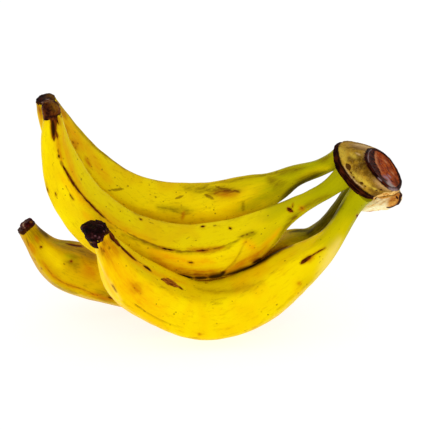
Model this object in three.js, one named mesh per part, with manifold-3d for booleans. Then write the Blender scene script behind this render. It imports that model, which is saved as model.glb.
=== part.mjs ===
// A hand of four ripe plantains joined at one crown, lying on the bellies of its two lower fruits.
// Millimetres, +Z up. X runs from the blossom ends to the crown and Y from the near fruit to the far ones.
// The origin is on the surface, under the middle of the bounding box.

import * as THREE from 'three';
import { mergeVertices } from 'three/addons/utils/BufferGeometryUtils.js';
import Module from 'manifold-3d';

const pieceGap = 0.3; // left between two pieces that touch
const fruitRings = 38;
const fruitSides = 30; // a multiple of the five ridges, so that each ridge runs through vertices
const ridgeCount = 5;
const ridgeSharpness = 8; // the larger, the nearer the section is to a true pentagon
const sectionScale = 1.169; // makes the mean of the section's half-width 1 at that sharpness

// A fruit's control points run from inside the crown to the blossom end, each one as
// [x, y, z, mean half-width]. The ridge angle is that of one ridge round the section: 0 degrees is
// on the inner side of the bend, and 90 degrees is on the near side.
const fruits = {
  upper: {
    ridge: 71,
    skin: '#dcbe0c',
    controls: [
      [125.5, 6.5, 156.5, 8], [94, 9, 135, 6.5], [75, 13, 130, 8.5], [61, 19, 115.5, 12.5], [33, 27, 104, 19],
      [3, 34, 88, 23], [-39, 37.5, 86, 23.5], [-79, 38, 96, 24.5], [-113, 33, 137, 19], [-128, 25, 175, 13],
      [-132, 20, 192, 8.5],
    ],
  },
  middle: {
    ridge: 65,
    skin: '#f0cf08',
    controls: [
      [126, -10.5, 150, 8.5], [111, -9, 133.5, 8.5], [99, -9, 122.5, 6.5], [63, -10, 103.5, 9],
      [45, -10, 84, 19.5], [9, -8, 66, 23.5], [-38, -7, 68, 22], [-79, -7, 82, 22.5],
      [-110.5, -9, 116.5, 21], [-122, -12, 154, 14.5], [-123, -13, 191, 7.5],
    ],
  },
  front: {
    ridge: 45,
    skin: '#f4d204',
    controls: [
      [136.5, -14, 137, 8.5], [120.5, -16, 114, 9], [111, -21, 94, 8], [95, -25, 74, 13], [71.5, -29, 59, 21],
      [39, -33, 31, 24.5], [-3, -36, 20, 24.5], [-39, -40, 36.5, 21.5], [-66, -45, 57, 19.5],
      [-76, -48, 79, 13], [-81.5, -50, 96, 9],
    ],
  },
  back: {
    ridge: 42,
    skin: '#e0b40c',
    controls: [
      [139, 4, 139.5, 9], [113, 10, 100, 6], [93, 14, 69.5, 7.5], [78, 17, 64, 14], [62, 18, 51, 17.5],
      [25, 18, 29.5, 20.5], [-34, 18, 18.5, 22.5], [-96, 18, 30.5, 22], [-123, 17, 43, 23.5],
      [-141, 15, 56, 12], [-154, 14, 82, 7.5],
    ],
  },
};

// The dried blossom ends: each is a dome as long as `length` that leans over by `lean` at its far end,
// swells to `bulge` times the width of the fruit's end and has lumps `lumps` times its half-width high.
const blossomEnds = {
  upper: { length: 4, bulge: 1, lumps: 0.05, lean: [0, 0, 0] },
  middle: { length: 9, bulge: 1, lumps: 0.05, lean: [-1, 0, 0] },
  front: { length: 15, bulge: 1.1, lumps: 0.08, lean: [-5, 0, 1.5] },
  back: { length: 4, bulge: 1, lumps: 0.04, lean: [0, 0, 0] },
};
const blossomColour = '#1c0f0a';
const blossomRings = 7;
const blossomBlunt = 0.92; // the dome stops at this share of its quarter turn

// The crown is a squat leaning drum on a flat base that the stalks grow from.
const crownBase = new THREE.Vector3(127.6, -0.7, 140.4);
const crownAxis = new THREE.Vector3(0.686, -0.161, 0.71).normalize(); // out of the cut face
const crownLong = new THREE.Vector3(0.675, -0.223, -0.703).normalize(); // from the upper to the front fruit
const crownWide = new THREE.Vector3().crossVectors(crownAxis, crownLong); // away from the near side
const crownBaseSlope = 0.2; // the base falls this much towards the near side, against the cut face
const crownSides = 40;
// Its outline in steps up the axis:
// [height, share of the base's slope, lean along the long way, half-length, half-width].
const crownSteps = [
  [0, 1, 1, 28.6, 25.2],
  [1.5, 1, 1.3, 27.3, 24.5],
  [3.5, 0.9, 2, 28.6, 24.8],
  [8, 0.5, 5, 28.5, 24.6],
  [13, 0.2, 9.5, 25, 26.6],
  [16, 0, 12.3, 21.6, 27.3],
  [16.5, 0, 12.6, 19.5, 25],
  [15.5, 0, 12.6, 17.5, 22.5],
];
const crownColour = '#7c6410';

// The torn flesh hangs from the drum's lower edge. Its control points run away from the front fruit's
// stalk, each one as [x, y, z, half-height, half-depth].
const fleshControls = [
  [125, -5, 110, 3.5, 6], [135.5, -7, 112.5, 7.5, 9], [146, -8, 115, 8.3, 10], [156.5, -8, 117.3, 8.3, 10],
  [163, -7, 119, 6, 7],
];
const fleshRings = 14;
const fleshSides = 18;

const wasm = await Module();
wasm.setup();

function solidOf(geometry) {
  const bare = new THREE.BufferGeometry().setAttribute('position', geometry.getAttribute('position'));
  bare.setIndex(geometry.index);
  const merged = mergeVertices(bare, 1e-4);
  return new wasm.Manifold(new wasm.Mesh({
    numProp: 3,
    vertProperties: merged.getAttribute('position').array,
    triVerts: new Uint32Array(merged.index.array),
  }));
}

function geometryOf(solid) {
  const mesh = solid.getMesh();
  const geometry = new THREE.BufferGeometry();
  geometry.setAttribute('position', new THREE.BufferAttribute(mesh.vertProperties, mesh.numProp));
  geometry.setIndex(new THREE.BufferAttribute(mesh.triVerts, 1));
  geometry.computeVertexNormals();
  return geometry;
}

// One closed surface through rings of points, with a fan of triangles over each end. Each ring turns
// right-handed about the way the rings follow each other.
function skinOver(rings) {
  const sides = rings[0].length;
  const points = rings.flat();
  const faces = [];
  for (let ring = 0; ring < rings.length - 1; ring++) {
    for (let side = 0; side < sides; side++) {
      const a = ring * sides + side;
      const b = ring * sides + (side + 1) % sides;
      faces.push(a, b, a + sides, b, b + sides, a + sides);
    }
  }
  const first = points.push(middleOf(rings[0])) - 1;
  const last = points.push(middleOf(rings.at(-1))) - 1;
  const lastRing = (rings.length - 1) * sides;
  for (let side = 0; side < sides; side++) {
    const next = (side + 1) % sides;
    faces.push(first, next, side, last, lastRing + side, lastRing + next);
  }
  const geometry = new THREE.BufferGeometry().setFromPoints(points);
  geometry.setIndex(faces);
  return geometry;
}

function middleOf(ring) {
  return ring.reduce((sum, point) => sum.add(point), new THREE.Vector3()).divideScalar(ring.length);
}

// A point of the uniform cubic B-spline through the control points, which starts and ends on them.
function splinePoint(controls, place) {
  const mirrored = (end, inner) => end.map((value, k) => 2 * value - inner[k]);
  const before = mirrored(controls[0], controls[1]);
  const after = mirrored(controls.at(-1), controls.at(-2));
  const padded = [before, ...controls, after];
  const spans = controls.length - 1;
  const span = Math.min(Math.floor(place * spans), spans - 1);
  const t = place * spans - span;
  const weights = [(1 - t) ** 3, 3 * t ** 3 - 6 * t ** 2 + 4, -3 * t ** 3 + 3 * t ** 2 + 3 * t + 1, t ** 3];
  return controls[0].map((_, k) => weights.reduce((sum, w, i) => sum + w * padded[span + i][k], 0) / 6);
}

// Evenly spaced places along a fruit, each with its centre, half-width and the section's own directions.
function fruitPlaces({ controls }) {
  const samples = 600;
  const fine = Array.from({ length: samples + 1 }, (_, i) => splinePoint(controls, i / samples));
  const centreOf = ([x, y, z]) => new THREE.Vector3(x, y, z);
  const lengths = [0];
  for (let i = 1; i <= samples; i++) {
    lengths.push(lengths[i - 1] + centreOf(fine[i]).distanceTo(centreOf(fine[i - 1])));
  }
  const nearSide = new THREE.Vector3(0, -1, 0);
  return Array.from({ length: fruitRings }, (_, ring) => {
    const along = lengths[samples] * ring / (fruitRings - 1);
    const i = Math.min(Math.max(lengths.findIndex((length) => length >= along), 1), samples - 1);
    const forward = centreOf(fine[i + 1]).sub(centreOf(fine[i - 1])).normalize();
    const inner = new THREE.Vector3().crossVectors(forward, nearSide).normalize();
    const near = new THREE.Vector3().crossVectors(inner, forward);
    return { centre: centreOf(fine[i]), halfWidth: fine[i][3], forward, inner, near };
  });
}

// How far the section's edge is from its centre, over the mean: a pentagon with soft corners.
function sectionShape(angle, ridge) {
  const half = Math.PI / ridgeCount;
  let sum = 0;
  for (let k = 0; k < ridgeCount; k++) {
    const facet = ridge + half + 2 * half * k;
    sum += Math.max(Math.cos(angle - facet) / Math.cos(half), 0) ** ridgeSharpness;
  }
  return sectionScale * sum ** (-1 / ridgeSharpness);
}

function sectionRing({ centre, inner, near }, halfWidth, ridge, relief = () => 1) {
  return Array.from({ length: fruitSides }, (_, side) => {
    const angle = ridge - 2 * Math.PI * side / fruitSides;
    const reach = halfWidth * sectionShape(angle, ridge) * relief(angle);
    return centre.clone()
      .addScaledVector(inner, reach * Math.cos(angle))
      .addScaledVector(near, reach * Math.sin(angle));
  });
}

function fruitSolid(fruit, extra = 0) {
  const ridge = THREE.MathUtils.degToRad(fruit.ridge);
  const rings = fruitPlaces(fruit).map((place) => sectionRing(place, place.halfWidth + extra, ridge));
  return solidOf(skinOver(rings));
}

// A lumpy dome past the end of a fruit's skin.
function blossomSolid(fruit, { length, bulge, lumps, lean }) {
  const ridge = THREE.MathUtils.degToRad(fruit.ridge);
  const end = fruitPlaces(fruit).at(-1);
  const rings = Array.from({ length: blossomRings }, (_, ring) => {
    const part = ring / (blossomRings - 1);
    const roundOff = Math.sqrt(1 - (blossomBlunt * part) ** 4);
    const halfWidth = end.halfWidth * roundOff * (1 + (bulge - 1) * Math.sin(Math.PI * part));
    const centre = end.centre.clone()
      .addScaledVector(end.forward, pieceGap + length * Math.sin(blossomBlunt * part * Math.PI / 2))
      .addScaledVector(new THREE.Vector3(...lean), part);
    const lumpAt = (angle) => Math.sin(3 * angle + 5 * part) + Math.sin(7 * angle - 4 * part);
    return sectionRing({ ...end, centre }, halfWidth, ridge, (angle) => 1 + lumps * part * lumpAt(angle));
  });
  return solidOf(skinOver(rings));
}

function crownPoint(up, along, across) {
  return crownBase.clone()
    .addScaledVector(crownAxis, up)
    .addScaledVector(crownLong, along)
    .addScaledVector(crownWide, across);
}

function crownSolid() {
  const rings = crownSteps.map(([height, slopeShare, lean, halfLength, halfWidth]) => (
    Array.from({ length: crownSides }, (_, side) => {
      const angle = 2 * Math.PI * side / crownSides;
      const lump = 1 + 0.015 * Math.sin(3 * angle + 0.2 * height) + 0.01 * Math.sin(5 * angle);
      const across = lump * halfWidth * Math.sin(angle);
      const up = height + slopeShare * crownBaseSlope * across;
      return crownPoint(up, lean + lump * halfLength * Math.cos(angle), across);
    })
  ));
  return solidOf(skinOver(rings)).add(fleshSolid()).subtract(fruitSolid(fruits.front, 2 * pieceGap));
}

function fleshSolid() {
  const rings = Array.from({ length: fleshRings }, (_, ring) => {
    const [x, y, z, halfHeight, halfDepth] = splinePoint(fleshControls, ring / (fleshRings - 1));
    return Array.from({ length: fleshSides }, (_, side) => {
      const angle = 2 * Math.PI * side / fleshSides;
      return new THREE.Vector3(x, y + halfDepth * Math.cos(angle), z + halfHeight * Math.sin(angle));
    });
  });
  return solidOf(skinOver(rings));
}

// All that is on the crown's side of a plane a gap below its base.
function crownSideBlock() {
  const size = 160;
  const block = new THREE.BoxGeometry(size, size, size);
  const up = crownAxis.clone().addScaledVector(crownWide, -crownBaseSlope).normalize();
  const turn = new THREE.Matrix4().makeBasis(crownLong, new THREE.Vector3().crossVectors(up, crownLong), up);
  return solidOf(block.translate(0, 0, size / 2 - pieceGap).applyMatrix4(turn).translate(...crownBase));
}

// All that is below the surface, which presses a small flat spot on each belly that lies on it.
function surfaceBlock() {
  const size = 500;
  const depth = 20;
  return solidOf(new THREE.BoxGeometry(size, size, depth).translate(0, 0, -depth / 2));
}

function piece(name, solid, colour, roughness) {
  const material = new THREE.MeshStandardMaterial({ color: colour, roughness, metalness: 0 });
  const mesh = new THREE.Mesh(geometryOf(solid), material);
  mesh.name = name;
  return mesh;
}

const group = new THREE.Group();
group.add(piece('crown', crownSolid(), crownColour, 0.6));
for (const [name, fruit] of Object.entries(fruits)) {
  const skin = fruitSolid(fruit).subtract(crownSideBlock()).subtract(surfaceBlock());
  group.add(piece(`finger_${name}`, skin, fruit.skin, 0.5));
  group.add(piece(`blossom_end_${name}`, blossomSolid(fruit, blossomEnds[name]), blossomColour, 0.9));
}

export default group;
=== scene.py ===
"""The looks of a hand of ripe plantains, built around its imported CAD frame.

Shapes are worked out in millimetres, in the frame's own axes, and turned into metres where a mesh is
made. Each fruit's skin is a grid of rings and sides round much the same line as its CAD solid. Marks on
the skin are given where they show in the picture, as pixels of its 430 x 430 frame.
"""

import math

import bpy
import numpy as np
from mathutils import Matrix, Vector
from mathutils.bvhtree import BVHTree


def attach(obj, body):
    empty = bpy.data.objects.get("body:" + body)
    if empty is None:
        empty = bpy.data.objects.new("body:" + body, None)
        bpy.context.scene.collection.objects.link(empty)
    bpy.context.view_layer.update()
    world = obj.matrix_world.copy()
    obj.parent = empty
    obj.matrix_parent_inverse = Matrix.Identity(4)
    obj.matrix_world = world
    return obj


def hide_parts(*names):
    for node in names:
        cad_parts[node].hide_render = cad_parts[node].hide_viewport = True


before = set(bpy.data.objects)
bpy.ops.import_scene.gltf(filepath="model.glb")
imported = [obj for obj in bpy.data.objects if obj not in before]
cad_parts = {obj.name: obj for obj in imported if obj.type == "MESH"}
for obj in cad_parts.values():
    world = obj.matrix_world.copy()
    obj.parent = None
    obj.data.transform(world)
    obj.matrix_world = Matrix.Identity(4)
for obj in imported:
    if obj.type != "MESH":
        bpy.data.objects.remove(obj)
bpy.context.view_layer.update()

MM = 0.001
SEED = 11

# ---------------- the camera

PICTURE_SIDE = 430  # pixels
CAMERA_AIM = Vector((8, -27, 110.07)) * MM
CAMERA_DISTANCE = 1.1
CAMERA_ELEVATION = math.radians(23.5)
CAMERA_LENS = 112.3
SENSOR_WIDTH = 36


def camera_place():
    back = Vector((0, -math.cos(CAMERA_ELEVATION), math.sin(CAMERA_ELEVATION)))
    return CAMERA_AIM + back * CAMERA_DISTANCE


def put(name, data):
    """A new object in the scene."""
    made = bpy.data.objects.new(name, data)
    bpy.context.scene.collection.objects.link(made)
    return made


def add_camera():
    data = bpy.data.cameras.new("camera")
    data.lens = CAMERA_LENS
    data.sensor_width = SENSOR_WIDTH
    data.clip_end = 20
    camera = put("camera", data)
    camera.location = camera_place()
    camera.rotation_euler = (math.pi / 2 - CAMERA_ELEVATION, 0, 0)
    bpy.context.scene.camera = camera


def sight_line(x, y):
    """Where the sight line through a pixel of the picture starts, in mm, and its direction."""
    turn = Matrix.Rotation(math.pi / 2 - CAMERA_ELEVATION, 3, "X")
    half = SENSOR_WIDTH / 2 / CAMERA_LENS
    middle = PICTURE_SIDE / 2
    direction = turn @ Vector(((x / middle - 1) * half, (1 - y / middle) * half, -1))
    return camera_place() / MM, direction.normalized()


# ---------------- the fruits' shapes

FRUIT_RINGS = 390
FRUIT_SIDES = 200
RIDGE_COUNT = 5
RIDGE_SHARPNESS = 8  # the larger, the nearer a section is to a true pentagon
END_SHARPNESS = 4  # the sections are rounder at the stalk and at the tip
PEEL_GIRTH = 22  # mean half-width that the skin's patterns are laid out for
PATTERNS_APART = 500  # mm from one fruit's place in the patterns to the next one's
SPLINE_SAMPLES = 4000  # for the length along a fruit's line
WAVE_COUNT = 9  # sines in one random field
FRUIT_SEED_STEP = 20

# Control points [x, y, z, mean half-width] from inside the crown to the blossom end, and the angle of
# one ridge, from the inner side of the bend towards the near side. The upper and middle fruits are as
# in the part's source. The front fruit's last four points are fuller than there and nearer the inner
# side of the bend, and the back fruit's stalk and neck differ by up to 1 mm.
FRUITS = {
    "upper": {
        "ridge": 71,
        "controls": [
            [125.5, 6.5, 156.5, 8], [94, 9, 135, 6.5], [75, 13, 130, 8.5], [61, 19, 115.5, 12.5],
            [33, 27, 104, 19], [3, 34, 88, 23], [-39, 37.5, 86, 23.5], [-79, 38, 96, 24.5],
            [-113, 33, 137, 19], [-128, 25, 175, 13], [-132, 20, 192, 8.5],
        ],
    },
    "middle": {
        "ridge": 65,
        "controls": [
            [126, -10.5, 150, 8.5], [111, -9, 133.5, 8.5], [99, -9, 122.5, 6.5], [63, -10, 103.5, 9],
            [45, -10, 84, 19.5], [9, -8, 66, 23.5], [-38, -7, 68, 22], [-79, -7, 82, 22.5],
            [-110.5, -9, 116.5, 21], [-122, -12, 154, 14.5], [-123, -13, 191, 7.5],
        ],
    },
    "front": {
        "ridge": 45,
        "controls": [
            [136.5, -14, 137, 8.5], [120.5, -16, 114, 9], [111, -21, 94, 8], [95, -25, 74, 13],
            [71.5, -29, 59, 21], [39, -33, 31, 24.5], [-3, -36, 20, 24.5], [-37.9, -40, 38.2, 23.4],
            [-63.8, -45, 59.1, 22], [-74.2, -48, 80.3, 14.8], [-81.2, -50, 96, 9.2],
        ],
    },
    "back": {
        "ridge": 42,
        "controls": [
            [139, 4, 139.5, 9], [113.3, 10, 100, 5.6], [93.3, 14, 69.5, 7.1], [78, 17, 64, 14],
            [62, 18, 51, 17.5], [25, 18, 29.5, 20.5], [-34, 18, 18.5, 22.5], [-96, 18, 30.5, 22],
            [-123, 17, 43, 23.5], [-140, 15, 56.4, 12.9], [-154, 14, 82, 7.5],
        ],
    },
}

# How far the peel runs on past a fruit's end, in mm: the mean, how much more it is on one side, and
# where that side is. Where it is less than 0, dried husk covers the peel.
PEEL_ENDS = {
    "upper": (2.0, 1.8, 135),
    "middle": (1.4, 0.8, 60),
    "front": (10.5, 1.8, 140),
    "back": (-1.6, 1.6, -45),
}
COLLAR_RINGS = 16  # of the peel past a fruit's end
COLLAR_LEAST = 0.3  # mm that these rings always run on
COLLAR_ROUNDING = 0.9  # mm that the peel's edge rounds in

# The peel's low relief, in mm, and the count of the furrows round a stalk.
RIDGE_WELT = 0.35
SCAR_DEPTH = 0.25
BRUISE_DEPTH = 0.12
FOLD_DEPTH = 0.7
HUSK_HEIGHT = 0.35
STALK_FURROWS = 11

# The crown's own directions, as in the part's source.
CROWN_BASE = np.array([127.6, -0.7, 140.4])
CROWN_AXIS = np.array([0.686, -0.161, 0.71]) / np.linalg.norm([0.686, -0.161, 0.71])
CROWN_LONG = np.array([0.675, -0.223, -0.703]) / np.linalg.norm([0.675, -0.223, -0.703])
CROWN_WIDE = np.cross(CROWN_AXIS, CROWN_LONG)
CROWN_BASE_SLOPE = 0.2

STALK_END = 2.2  # how far below the crown's base plane the stalks end, inside its foot, in mm
STALK_FLARE = 3.0  # how much wider a stalk's half-width is where it meets the crown
STALK_FLARE_REACH = 5.0  # how fast the flare dies away below the crown's base


def unit(vectors):
    return vectors / np.linalg.norm(vectors, axis=-1, keepdims=True)


def smooth_step(low, high, value):
    t = np.clip((value - low) / (high - low), 0, 1)
    return t * t * (3 - 2 * t)


def spline(controls, places):
    """Points of the uniform cubic B-spline through the controls' ends, at places from 0 to 1."""
    rows = np.array(controls, float)
    padded = np.vstack([2 * rows[0] - rows[1], rows, 2 * rows[-1] - rows[-2]])
    spans = len(rows) - 1
    span = np.minimum((places * spans).astype(int), spans - 1)
    t = places * spans - span
    weights = [(1 - t) ** 3, 3 * t**3 - 6 * t**2 + 4, -3 * t**3 + 3 * t**2 + 3 * t + 1, t**3]
    return sum(w[:, None] * padded[span + i] for i, w in enumerate(weights)) / 6


def fruit_line(controls, rings):
    """Evenly spaced rings along a fruit: how far along, centre, half-width and the section's axes."""
    fine = np.linspace(0, 1, SPLINE_SAMPLES)
    steps = np.linalg.norm(np.diff(spline(controls, fine)[:, :3], axis=0), axis=1)
    lengths = np.concatenate([[0], np.cumsum(steps)])
    along = np.linspace(0, lengths[-1], rings)
    rows = spline(controls, np.interp(along, lengths, fine))
    centre = rows[:, :3]
    forward = unit(np.gradient(centre, axis=0))
    inner = unit(np.cross(forward, [0, -1, 0]))
    near = np.cross(inner, forward)
    return along, centre, rows[:, 3], forward, inner, near


def turns(sides):
    return np.arange(sides)[None, :] * 2 * math.pi / sides


def around(angle, first, second):
    """The directions at angles from a first direction towards a second one."""
    return np.cos(angle)[..., None] * first + np.sin(angle)[..., None] * second


def section_shape(turn, sharpness):
    """The section's edge over its mean half-width, at angles past a ridge: a soft pentagon."""
    half = math.pi / RIDGE_COUNT
    total = 0
    for k in range(RIDGE_COUNT):
        facing = np.cos(turn - half - 2 * half * k) / math.cos(half)
        total = total + np.maximum(facing, 0) ** sharpness
    shape = total ** (-1 / sharpness)
    return shape / shape.mean(axis=1, keepdims=True)


def waves(points, size, seed):
    """A smooth random field from about -1 to 1 whose swells are about size across."""
    draw = np.random.default_rng(seed)
    field = 0
    for _ in range(WAVE_COUNT):
        direction = unit(draw.normal(size=3))
        field = field + np.sin(points @ direction * 2 * math.pi / size / draw.uniform(0.8, 1.5)
                               + draw.uniform(0, 2 * math.pi))
    return field / math.sqrt(WAVE_COUNT)


def swells(points, seed, *layers):
    """Random fields added up, each layer given by its height and the size of its swells."""
    return sum(height * waves(points, size, seed + i) for i, (height, size) in enumerate(layers))


def crown_base_up():
    """The way out of the crown's base plane, towards its cut face."""
    return unit(CROWN_AXIS - CROWN_BASE_SLOPE * CROWN_WIDE)


def below_crown(points):
    """How far points are below the crown's base plane, in mm."""
    return -(points - CROWN_BASE) @ crown_base_up()


def warts(points, centres, sizes, height):
    """How high rounded warts round the centres stand over a surface, in mm."""
    tall = np.zeros(points.shape[:-1])
    for centre, size in zip(centres, sizes):
        gap = np.linalg.norm(points - centre, axis=-1) / size
        tall = np.maximum(tall, height * size * np.sqrt(np.maximum(1 - gap**2, 0)))
    return tall


def peel_end(name, angle, seed):
    """How far the peel's ragged edge is past the fruit's end, in mm."""
    mean, more, side = PEEL_ENDS[name]
    circle = np.stack([np.cos(angle), np.sin(angle), 0 * angle], axis=-1)
    ragged = swells(circle, seed + 3, (0.7, 0.5), (0.35, 0.15))
    return mean + more * np.cos(angle - math.radians(side)) + ragged


def fruit_surface(name):
    """The skin's grid, before marks: its points in mm, outward directions and layout."""
    fruit = FRUITS[name]
    number = list(FRUITS).index(name)
    seed = SEED + FRUIT_SEED_STEP * number
    along, centre, half_width, forward, inner, near = fruit_line(fruit["controls"], FRUIT_RINGS)
    length = along[-1]
    end = (centre[-1], half_width[-1], forward[-1], inner[-1], near[-1])
    past = np.arange(1, COLLAR_RINGS + 1) / COLLAR_RINGS
    share_past = np.concatenate([np.zeros(FRUIT_RINGS), past])[:, None]
    along, centre, half_width, forward, inner, near = (
        np.concatenate([row, np.repeat(row[-1:], COLLAR_RINGS, axis=0)])
        for row in (along, centre, half_width, forward, inner, near))

    turn = -turns(FRUIT_SIDES)
    angle = turn + math.radians(fruit["ridge"])
    share = along / length
    middleness = (smooth_step(0.12, 0.3, share) * smooth_step(1, 0.85, share))[:, None]
    sharpness = END_SHARPNESS + (RIDGE_SHARPNESS - END_SHARPNESS) * middleness
    out = around(angle, inner[:, None], near[:, None])
    edge = peel_end(name, angle, seed)
    beyond = share_past * np.maximum(edge, COLLAR_LEAST)
    reach = half_width[:, None] * section_shape(turn, sharpness) - 0.1 * beyond
    reach = reach - COLLAR_ROUNDING * share_past**3
    points = centre[:, None] + reach[..., None] * out + beyond[..., None] * forward[:, None]
    flare = STALK_FLARE * np.exp(-np.maximum(below_crown(points) - STALK_END, 0) / STALK_FLARE_REACH)

    girth = PEEL_GIRTH + 0 * along[:, None]
    straight = np.stack([along[:, None] + beyond, girth * np.cos(angle),
                         girth * np.sin(angle) + PATTERNS_APART * number], axis=-1)
    ridge = np.cos(RIDGE_COUNT * turn / 2) ** 2 + 0 * girth
    welt = RIDGE_WELT * middleness * ridge**12
    uneven = swells(straight, seed, (0.35, 45), (0.12, 14))
    stalk = smooth_step(0.3, 0.12, share)[:, None]
    furrows = 0.1 * stalk * np.sin(STALK_FURROWS * turn + 0.8 * waves(straight, 60, seed + 2))
    points = points + (flare + welt + uneven + furrows)[..., None] * out
    points[..., 2] = np.maximum(points[..., 2], 0)
    points = points - np.maximum(STALK_END - below_crown(points), 0)[..., None] * crown_base_up()
    return {
        "name": name, "seed": seed, "points": points, "out": out, "straight": straight, "end": end,
        "angle": angle + 0 * girth, "share": share[:, None] + 0 * angle, "ridge": ridge * middleness,
        "husk": along[:, None] - length - np.minimum(edge, 0) + beyond - 0.8 * np.maximum(edge, 0),
    }


# ---------------- marks on the skin

FAR_SIDE_MARKS = 34  # on each fruit
SEARCH_REACH = 120  # mm nearer and further than the camera's aim, where a sight line is followed
SEARCH_STEP = 3

# Each mark is its width in mm, and the pixels that its line runs through.
UPPER_MARKS = {
    "bruise": [
        (2.4, (108, 190.4), (116, 189.7), (123.5, 189)), (2.6, (175, 198.2), (179, 197.5), (183.5, 195.3)),
        (2.4, (224, 189.6), (231, 190.4)), (2.2, (215.5, 186), (221, 188.5), (228, 189)),
        (2, (234, 190.4), (240, 192.5)), (3.2, (205, 194.5), (209, 196.5), (213, 199)),
        (1.5, (72, 141), (74, 143.5)), (1.4, (75, 147), (76.5, 149)), (1.2, (78, 143.5)),
        (1.2, (71.5, 145.5)), (1.2, (88, 158.5)), (1.3, (91.5, 166.5)), (1.4, (102, 169.5)),
        (1.4, (115, 177.5)), (1.6, (128, 186)), (1.2, (131, 188)), (1.3, (149.5, 185.3)),
        (1.3, (150.4, 194.6)), (1.3, (154.8, 193.3)), (1.5, (155.7, 197.3)), (1.2, (163.3, 201.3)),
        (1.6, (181.6, 205)), (1.2, (196.8, 186)), (1.2, (186, 192.4)), (1.1, (206, 207)),
        (1.1, (212.4, 204.5)), (1.2, (214.2, 208)), (1.6, (275, 172.5), (278, 171.5)), (1.5, (296, 169.5)),
    ],
    # mostly painted shade: along the top edge turned away from the light, under the neck and next to the
    # middle fruit; a few are real olive patches
    "shadow_and_olive_patch": [
        (5, (220, 190), (229, 190.6), (240, 191)), (12, (184, 188), (205, 189), (232, 191)),
        (8, (274, 174), (290, 170.5), (304, 168)), (8, (318, 161), (330, 156)),
        (10, (57, 99), (62, 108), (66, 116)), (11, (268, 177), (276, 184), (284, 182)),
        (4, (282, 197), (294, 187), (306, 179)), (4, (196, 184.5), (230, 181), (262, 175.5), (290, 170)),
        (8, (158, 207), (176, 210), (192, 211)), (8, (298, 180.6), (308, 177), (318, 172)),
        (3.5, (58, 100), (66, 112), (80, 131), (97, 149), (118, 164), (140, 175)), (9, (40, 104), (41, 116)),
        (3, (243.2, 202), (243, 211)),
    ],
    "rust": [(5, (207, 195), (222, 190.5), (237, 191)), (9, (40, 102), (41, 110)), (7, (56, 98), (60, 106))],
    # painted shadow on the stalk's underside
    "deep_painted_shadow": [(7.6, (281, 200.4), (291, 190.6), (303, 182), (314, 176.6), (324, 172))],
    # painted light: lifts skin that lies in shade
    "painted_light": [
        (10, (218, 216), (234, 212.6), (249, 207)), (7, (300, 179), (314, 173), (330, 167)),
        (13, (224, 208), (238, 208), (252, 206)),
    ],
    "flush": [
        (6, (216, 194), (228, 195), (238, 194)), (6, (38.5, 104), (39.5, 113), (41.5, 126)),
        (7, (61, 108), (66, 118)), (6, (62, 122), (68, 134)), (8, (72, 141), (77, 148)),
        (4.5, (85, 157), (91, 167)), (3.5, (184, 211.6), (182, 220)),
    ],
    "moss": [
        (14, (238, 211), (252, 204), (266, 195), (282, 184)),
        (6, (276, 178), (292, 172), (308, 166), (322, 160)),
    ],
    "warm": [(12, (64, 116), (74, 134), (84, 150)), (12, (86, 146), (96, 164), (110, 182))],
}
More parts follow.
